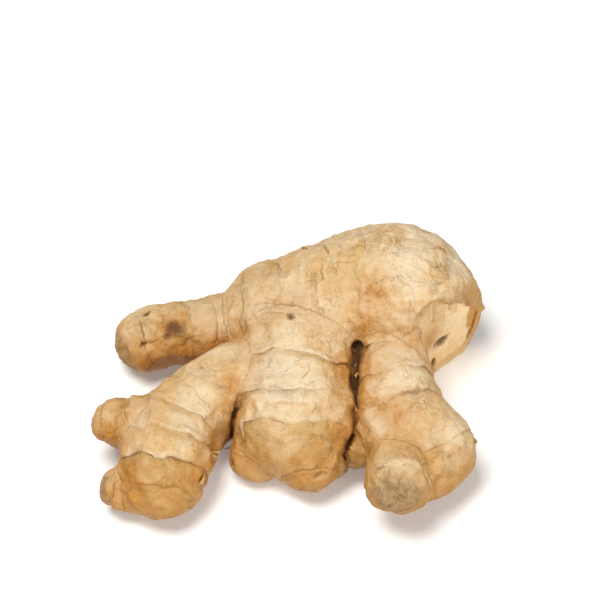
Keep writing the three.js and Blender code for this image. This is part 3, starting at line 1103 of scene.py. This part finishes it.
# %% Crack group
crack_kit, crack_in, crack_out = group(
    "dry_cracks",
    {"Vector": "Vector", "Scale": "Float", "Width": "Float"},
    {"Crack": "Float"},
)
t = crack_kit
warp = make(t, "ShaderNodeTexNoise", {"Vector": crack_in["Vector"], "Scale": 0.5, "Detail": 3.0}).outputs[1]
warp = make(t, "ShaderNodeVectorMath", {0: warp, 1: (1.6, 1.6, 1.6)}, operation="MULTIPLY").outputs[0]
warped = make(t, "ShaderNodeVectorMath", {0: crack_in["Vector"], 1: warp}, operation="ADD").outputs[0]
cell_inputs = {"Vector": warped, "Scale": crack_in["Scale"]}
cells = make(t, "ShaderNodeTexVoronoi", cell_inputs, feature="DISTANCE_TO_EDGE")
plug(t, crack_out["Crack"], between(t, cells.outputs[0], 0.0, crack_in["Width"], 1.0, 0.0))
print(len(crack_kit.nodes), "nodes in", crack_kit.name)

# %% [markdown]
# ## Ginger skin
# The colour is built as the skin is: cream and tan patches, fibres, rings with their papery edges,
# painted highlights and bands of painted shade, a duller tone on the youngest skin and painted shade
# on the back finger and side knob, stains, painted light on top and painted shade on the sides,
# underneath, in the forks and in the gaps, then scars, dry ends and the knife's flat. Roughness
# follows the same masks, and one bump carries the relief that is too fine for the mesh.

# %% Skin colours
CREAM = (0.83, 0.65, 0.415, 1)
# Pale paper colour, also used for a painted highlight on each ring's edge.
PALE_PAPER_AND_HIGHLIGHT = (0.88, 0.74, 0.54, 1)
# Painted light: the pale cream laid on skin that faces up.
TOP_LIGHT_CREAM = (0.87, 0.72, 0.50, 1)
TAN = (0.69, 0.425, 0.155, 1)
OCHRE = (0.55, 0.325, 0.10, 1)
# Orange-brown used for the real stains and rust, and for painted shade near the forks.
STAIN_AND_SHADE_ORANGE = (0.57, 0.235, 0.027, 1)
# Painted shade: the tan laid on the sides.
SIDE_SHADE_TAN = (0.51, 0.25, 0.047, 1)
BLOOM = (0.80, 0.685, 0.50, 1)
# Brown used for painted shade underneath and in the gaps, and for the real brown round scars.
SHADE_AND_SCAR_BROWN = (0.30, 0.125, 0.024, 1)
RING_BROWN = (0.27, 0.12, 0.033, 1)
SCAR_BROWN = (0.12, 0.045, 0.011, 1)
# Painted shade: the near-black at the bottom of the gaps.
GAP_SHADE_BROWN = (0.035, 0.012, 0.003, 1)
DRY_TAN = (0.42, 0.27, 0.13, 1)
DRY_BROWN = (0.26, 0.145, 0.06, 1)
FLESH = (0.97, 0.75, 0.44, 1)
FLESH_DARK = (0.88, 0.59, 0.27, 1)

# %% Patterns in the skin
skin, t, here = new_material("ginger_skin")
straight_way = attribute(t, "straight", "Vector")
mask = {name: attribute(t, name) for name in ATTRIBUTES}
ring = use(t, ring_kit, {"Count": mask["rings"], "Spacing": mask["ring_gap"],
                         "Strength": mask["ring_strength"], "Vector": here})
grain = use(t, grain_kit, {"Straight": straight_way})
cracks = use(t, crack_kit, {"Vector": straight_way, "Scale": 0.6, "Width": 0.06})
fine_cracks = use(t, crack_kit, {"Vector": straight_way, "Scale": 0.16, "Width": 0.014})


def times(a, b):
    """Product of two masks in the skin's tree."""
    return maths(skin.node_tree, "MULTIPLY", a, b)


broad = between(t, cloud(t, here, 38.0, 3.0, 0.55, 0.4), 0.36, 0.64)
middling = between(t, cloud(t, here, 150.0, 4.0, 0.6, 0.5), 0.35, 0.68)
small = between(t, cloud(t, here, 480.0, 4.0, 0.6, 0.3), 0.36, 0.7)
freckles = between(t, cloud(t, here, 900.0, 2.0, 0.5), 0.68, 0.76)
patchy = between(t, cloud(t, here, 75.0, 5.0, 0.65, 0.8), 0.42, 0.62)
bloom = between(t, cloud(t, here, 62.0, 6.0, 0.68, 0.6), 0.5, 0.62)
bloom = times(bloom, between(t, small, 0.0, 1.0, 1.0, 0.5))
rust = between(t, cloud(t, here, 48.0, 5.0, 0.62, 1.2), 0.54, 0.68)
rust = times(rust, between(t, middling, 0.0, 1.0, 0.4, 1.0))
fold = maths(t, "ABSOLUTE", maths(t, "SUBTRACT", cloud(t, here, 105.0, 4.0, 0.55, 0.9), 0.5))
fold = times(between(t, fold, 0.0, 0.016, 1.0, 0.0), between(t, patchy, 0.0, 1.0, 0.15, 1.0))
fold = times(fold, mask["calm"])
fibre = times(grain["Fibre"], mask["calm"])
wrinkle = times(grain["Wrinkle"], mask["calm"])

print(len(t.nodes), "nodes make the patterns")

# %% Layers of colour
# Orange over the skin: painted shade near the forks, real rust, and the stains, some of which are painted
# shadow.
tint = times(mask["fork_shade_tint"], between(t, patchy, 0.0, 1.0, 0.55, 0.95))
tint = maths(t, "MAXIMUM", tint, times(rust, 0.55))
tint = maths(t, "MAXIMUM", tint, times(mask["stain_and_shadow"], between(t, patchy, 0.0, 1.0, 0.55, 1.0)))
check_line = times(times(fine_cracks["Crack"], mask["calm"]), patchy)
dry_line = times(cracks["Crack"], between(t, small, 0.2, 0.8, 0.25, 0.85))
dry_skin = mixed(t, between(t, small, 0.0, 1.0, 0.0, 0.6), DRY_TAN, DRY_BROWN)
dry_skin = mixed(t, dry_line, dry_skin, SCAR_BROWN)
flesh_tone = between(t, cloud(t, here, 120.0, 4.0, 0.6, 0.3), 0.35, 0.7)
flesh = mixed(t, flesh_tone, FLESH, FLESH_DARK)
flesh = mixed(t, times(mask["strips"], 0.5), flesh, TAN)
bare = times(mask["cut"], maths(t, "SUBTRACT", 1.0, times(mask["stain_and_shadow"], 0.9)))
scar_edge = maths(t, "ADD", mask["scar"], times(maths(t, "SUBTRACT", small, 0.5), 0.3))
# Painted shade: dark brown in the narrow gaps where two fingers press together.
gap = maths(t, "ADD", mask["crevice_shade"], times(maths(t, "SUBTRACT", middling, 0.5), 0.3))
LAYERS = [  # how much of each colour goes over what is there already, in order
    (times(broad, 0.8), TAN),
    (times(middling, 0.5), TAN),
    (times(fibre, 0.2), TAN),
    (times(small, 0.3), OCHRE),
    (times(wrinkle, 0.12), PALE_PAPER_AND_HIGHLIGHT),
    # Painted light on the tops.
    (times(mask["painted_top_light"], between(t, broad, 0.0, 1.0, 0.65, 0.1)), TOP_LIGHT_CREAM),
    (times(bloom, 0.55), BLOOM),
    # The papery edge, partly a painted highlight, and the band of painted shade past each ring.
    (times(ring["Papery Edge And Highlight"], 0.4), PALE_PAPER_AND_HIGHLIGHT),
    (times(ring["Painted Shade Band"], 0.5), OCHRE),
    # The young tips' own tone, plus painted shade on the back finger and the side knob.
    (times(mask["tip_tone_and_shade"], between(t, patchy, 0.0, 1.0, 0.45, 0.95)), OCHRE),
    # Painted shade on the sides.
    (times(mask["side_shade"], between(t, broad, 0.0, 1.0, 0.6, 0.95)), SIDE_SHADE_TAN),
    (tint, STAIN_AND_SHADE_ORANGE),
    # Painted shade underneath.
    (times(mask["shade_underneath"], between(t, middling, 0.0, 1.0, 0.45, 0.8)), SHADE_AND_SCAR_BROWN),
    (times(freckles, 0.35), RING_BROWN),
    (times(fold, 0.22), RING_BROWN),
    (times(check_line, 0.16), RING_BROWN),
    (times(ring["Line"], 0.75), RING_BROWN),
    (times(mask["dry"], 0.9), dry_skin),
    (bare, flesh),
    (times(mask["trimmed"], 0.7), flesh),
    (times(between(t, mask["nick"], 0.1, 0.8), 0.6), RING_BROWN),
    (between(t, scar_edge, 0.02, 0.5, 0.0, 0.6), SHADE_AND_SCAR_BROWN),
    (between(t, scar_edge, 0.35, 0.95, 0.0, 0.85), SCAR_BROWN),
    # Painted shade in the gaps.
    (between(t, gap, 0.05, 0.75, 0.0, 0.85), SHADE_AND_SCAR_BROWN),
    (between(t, gap, 0.6, 1.0, 0.0, 0.9), GAP_SHADE_BROWN),
]
colour = CREAM
for share, layer_colour in LAYERS:
    colour = mixed(t, share, colour, layer_colour)

print(len(LAYERS), "layers of colour")

# %% Fine relief, gloss and the shader
FINE_RELIEF = [  # how high each pattern stands, in mm
    (times(grain["Height"], mask["calm"]), 1.0),
    (middling, 0.28),
    (fold, -0.2),
    (small, 0.2),
    (times(dry_line, mask["dry"]), -0.3),
    (check_line, -0.12),
    (bloom, 0.08),
    (freckles, -0.05),
]
height = ring["Height"]
for pattern, high in FINE_RELIEF:
    height = maths(t, "ADD", height, times(pattern, high))
gloss = between(t, middling, 0.0, 1.0, 0.48, 0.62)
gloss = maths(t, "ADD", gloss, times(mask["dry"], 0.25))
gloss = maths(t, "ADD", gloss, times(mask["cut"], 0.1))
gloss = maths(t, "ADD", gloss, times(mask["crevice_shade"], 0.4), clamp=True)
shader = finish_with(t, colour, gloss, height)
shader.inputs["Specular IOR Level"].default_value = 0.35
shader.inputs["Subsurface Weight"].default_value = 0.22
shader.inputs["Subsurface Scale"].default_value = 2.5 * MM
shader.inputs["Subsurface Radius"].default_value = (1.0, 0.45, 0.18)
root.data.materials.append(skin)
print(len(t.nodes), "nodes in", skin.name)

# %% [markdown]
# ## Scraps of scale leaf and rootlet stubs
# Rags of the papery scale leaves still cling to some rings, and broken rootlets stick out like
# short threads. A scrap is a thin sheet that starts under a ring's edge and curls away from the
# skin; a stub is a tapering thread. Both are closed shells, because a sheet without thickness
# would look wrong from behind.

# %% Anchors on the skin
def anchor(name, length, turn):
    """The skin point nearest a spot on a limb, its normal, and the limb's way ahead, in mm."""
    place = spot(name, length, turn) + SHIFT
    nearest = np.linalg.norm(skin_points - place, axis=1).argmin()
    ahead = limb_frame(name, np.array([float(length)]))[1][0]
    normal = skin_normals[nearest]
    ahead = ahead - (ahead @ normal) * normal
    return skin_points[nearest], normal, ahead / np.linalg.norm(ahead)


def turned(vector, axis, degrees):
    """A vector at right angles to an axis, turned about it."""
    a = math.radians(degrees)
    return vector * math.cos(a) + np.cross(axis, vector) * math.sin(a)


def small_piece(name, shells, skin_material):
    """One object from several closed shells, riding on the root."""
    points, faces = gathered(shells)
    mesh = mesh_from(name, points, faces)
    mesh.polygons.foreach_set("use_smooth", np.ones(len(faces), bool))
    mesh.materials.append(skin_material)
    piece = placed(name, mesh)
    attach(piece, "root")
    print(name, len(shells), "shells,", len(faces), "faces")


# %% Scraps of scale leaf
SCRAP_THICK = 0.12  # mm
SCRAP_ROWS, SCRAP_COLUMNS = 11, 13


def scrap(name, length, turn, long, wide, curl, swing, seed):
    """Closed thin sheet. With u across from -1 to 1 and v outward from 0 to 1, a point is
    base + u * wide/2 * (1 - v)^0.6 * side + long * v * ahead + (lift) * normal, where
    lift = curl * v^2 + a few seeded ripples; the back is the same sheet moved in by its thickness."""
    base, normal, ahead = anchor(name, length, turn)
    ahead = turned(ahead, normal, swing)
    side = np.cross(ahead, normal)
    rng = np.random.default_rng(seed)
    columns, rows = np.linspace(-1, 1, SCRAP_COLUMNS), np.linspace(0, 1, SCRAP_ROWS)
    u, v = (g.ravel() for g in np.meshgrid(columns, rows))
    ripple = 0.3 * np.sin(u * rng.uniform(2, 4) + rng.uniform(0, 6)) * v
    ripple += 0.12 * np.sin(u * rng.uniform(7, 11) + v * 5 + rng.uniform(0, 6)) * v
    ragged = 1 + 0.22 * np.sin(u * rng.uniform(4, 7) + rng.uniform(0, 6)) + 0.12 * np.sin(u * 17 + seed)
    out = long * v * ragged
    taper = (1 - 0.93 * v) ** 0.6
    lift = curl * v**2 + ripple - 0.35 * (1 - v) ** 2 - 0.3 * u**2
    top = base + np.outer(u * wide / 2 * taper, side) + np.outer(out, ahead) + np.outer(lift, normal)
    back = top - SCRAP_THICK * normal
    grid = np.arange(len(top)).reshape(SCRAP_ROWS, SCRAP_COLUMNS)
    corners = [grid[:-1, :-1], grid[:-1, 1:], grid[1:, 1:], grid[1:, :-1]]
    rear = np.stack([corner.ravel() for corner in corners], axis=1)
    front = rear[:, [0, 3, 2, 1]]
    rim = np.concatenate([grid[0, :], grid[1:, -1], grid[-1, -2::-1], grid[-2:0:-1, 0]])
    after = np.roll(rim, -1)
    walls = np.stack([rim, after, after + len(top), rim + len(top)], axis=1)
    return np.vstack([top, back]), [front, rear + len(top), walls]


SCRAPS = [  # limb, mm along, degrees round, long, wide, curl, swing, seed
    ("left_finger", 55.5, 172, 5.0, 4.6, 1.6, -22, 1),
    ("left_finger", 47.0, 160, 2.4, 3.4, 0.9, 8, 2),
    ("middle_finger", 27.5, 160, 2.6, 3.6, 0.9, 10, 4),
    ("middle_finger", 34.0, 166, 2.2, 2.6, 0.8, -25, 5),
    ("middle_finger", 41.0, 162, 2.6, 3.2, 0.9, -10, 6),
    ("middle_finger", 47.0, 166, 2.0, 2.4, 0.8, 20, 7),
    ("right_finger", 14.0, 24, 1.8, 2.4, 0.7, 10, 8),
    ("right_finger", 22.0, 20, 2.0, 2.4, 0.7, -10, 9),
    ("mother", 52.0, 60, 2.4, 5.0, 0.6, 0, 14),
    ("mother", 66.0, 30, 2.2, 5.0, 0.6, 0, 15),
    ("mother", 38.0, 20, 2.6, 5.0, 0.6, 0, 17),
    ("back_finger", 21.5, 20, 1.8, 4.0, 0.5, 0, 16),
    ("right_finger", 59.0, 150, 2.0, 4.0, 0.6, 0, 12),
]
scrap_skin, t, here = new_material("scale_leaf_scrap")
veins = cloud(t, stretched(t, here, (2.5, 0.6, 0.6)), 900.0, 4.0, 0.6, 0.4)
blotches = cloud(t, here, 300.0, 3.0)
scrap_colour = mixed(t, between(t, veins, 0.35, 0.68), TAN, OCHRE)
scrap_colour = mixed(t, between(t, blotches, 0.5, 0.75, 0.0, 0.7), scrap_colour, RING_BROWN)
scrap_gloss = between(t, blotches, 0.3, 0.7, 0.5, 0.75)
finish_with(t, scrap_colour, scrap_gloss, maths(t, "MULTIPLY", veins, 0.15))
small_piece("leaf_scraps", [scrap(*row) for row in SCRAPS], scrap_skin)

# %% Rootlet stubs
ROOTLET_RINGS, ROOTLET_SIDES = 15, 12


def rootlet(name, length, turn, long, thick, bend, seed):
    """Closed tapering thread: a circle of radius thick/2 * (1 - 0.55 v) carried along a line that
    leaves the skin along its normal and bends by bend * v^2, with both ends drawn in and closed flat."""
    base, normal, ahead = anchor(name, length, turn)
    side = np.cross(ahead, normal)
    rng = np.random.default_rng(seed)
    sway = rng.uniform(-0.4, 0.4)
    v = np.linspace(-0.12, 1, ROOTLET_RINGS)
    line = base + np.outer(long * v, normal) + np.outer(bend * v**2, ahead)
    line += np.outer(sway * long * v**2, side)
    radius = thick / 2 * (1 - 0.55 * v) * (1 + 0.12 * np.sin(9 * v + seed))
    radius[[0, -1]] = 0.15 * thick
    turn_round = np.arange(ROOTLET_SIDES) / ROOTLET_SIDES * 2 * math.pi
    circle = np.outer(np.cos(turn_round), ahead) + np.outer(np.sin(turn_round), side)
    grid = line[:, None] + radius[:, None, None] * circle[None]
    walls, first, last = tube_faces(ROOTLET_RINGS, ROOTLET_SIDES)
    return grid.reshape(-1, 3), [walls, first[None], last[None, ::-1]]


ROOTLETS = [  # limb, mm along, degrees round, long, thick, bend, seed
    ("left_finger", 43.0, 172, 3.4, 0.8, 0.3, 1),
    ("middle_finger", 36.0, -40, 2.5, 0.7, 1.0, 2),
    ("middle_finger", 50.0, -30, 3.0, 0.8, 1.2, 3),
    ("left_finger", 40.0, -12, 2.4, 0.6, 0.8, 4),
    ("left_finger", 53.0, -35, 2.0, 0.6, 0.6, 5),
    ("right_finger", 38.0, -150, 2.4, 0.7, 0.8, 6),
    ("right_finger", 52.0, 170, 2.0, 0.6, 0.5, 7),
    ("mother", 45.0, -12, 3.2, 0.9, 1.0, 8),
    ("mother", 63.0, 8, 2.6, 0.8, -0.8, 9),
    ("back_finger", 22.0, -150, 2.2, 0.6, 0.6, 10),
]
rootlet_skin, t, here = new_material("rootlet")
streak = cloud(t, here, 700.0, 4.0, 0.6)
rootlet_colour = mixed(t, between(t, streak, 0.35, 0.7), TAN, OCHRE)
rootlet_gloss = between(t, streak, 0.3, 0.7, 0.55, 0.75)
finish_with(t, rootlet_colour, rootlet_gloss, maths(t, "MULTIPLY", streak, 0.12))
small_piece("rootlets", [rootlet(*row) for row in ROOTLETS], rootlet_skin)

# %% [markdown]
# ## Floor and light
# A plain pale floor runs to the horizon. A soft lamp high above, slightly to the left, shapes the
# fingers. A wider, weaker one fills from the front right, and a pale sky keeps the shadows open.

# %% Floor
FLOOR_HALF = 8.0  # m
floor_corners = FLOOR_HALF / MM * np.array([[-1, -1, 0], [1, -1, 0], [1, 1, 0], [-1, 1, 0]])
floor = placed("pale_floor", mesh_from("pale_floor", floor_corners, [[0, 1, 2, 3]]))
floor_paint = bpy.data.materials.new("pale_floor")
floor_paint.use_nodes = True
paint = floor_paint.node_tree.nodes["Principled BSDF"].inputs
paint["Base Color"].default_value = (0.95, 0.95, 0.95, 1)
paint["Roughness"].default_value = 0.8
paint["Emission Color"].default_value = (1.0, 1.0, 1.0, 1)
paint["Emission Strength"].default_value = 0.16
floor.data.materials.append(floor_paint)

# %% Lights
LIT_SPOT = Vector((0, 0, 0.02))  # the lamps face the middle of the root


def lamp(name, where, watts, size, colour):
    """A square soft lamp that faces the root; where and size are in metres."""
    light = bpy.data.lights.new(name, "AREA")
    light.energy = watts
    light.size = size
    light.color = colour
    holder = placed(name, light)
    holder.location = where
    holder.rotation_euler = (LIT_SPOT - Vector(where)).to_track_quat("-Z", "Y").to_euler()
    print(name, watts, "W at", where)


lamp("soft_key", (-0.22, -0.05, 0.85), 7.1, 0.38, (1.0, 0.985, 0.955))
lamp("front_fill", (0.5, -0.7, 0.35), 4.2, 0.7, (1.0, 0.98, 0.95))
world = bpy.data.worlds.new("bright_room")
bpy.context.scene.world = world
world.use_nodes = True
sky = world.node_tree.nodes["Background"].inputs
sky["Color"].default_value = (1.0, 0.985, 0.96, 1)
sky["Strength"].default_value = 0.17
bpy.context.scene.view_settings.view_transform = "Standard"

# %% [markdown]
# ## Camera
# The camera looks steeply down from the finger side, with a long lens, as one stands over a table.

# %% Camera
ELEVATION = math.radians(52)
DISTANCE = 0.68  # m
TARGET = Vector((0.0024, 0.030, 0.020))
camera_data = bpy.data.cameras.new("camera")
camera_data.lens = 120
camera_data.sensor_width = 36
camera_data.clip_end = 20
camera = placed("camera", camera_data)
camera.location = TARGET + DISTANCE * Vector((0, -math.cos(ELEVATION), math.sin(ELEVATION)))
camera.rotation_euler = (TARGET - camera.location).to_track_quat("-Z", "Y").to_euler()
bpy.context.scene.camera = camera
print("camera at", [round(v, 3) for v in camera.location])
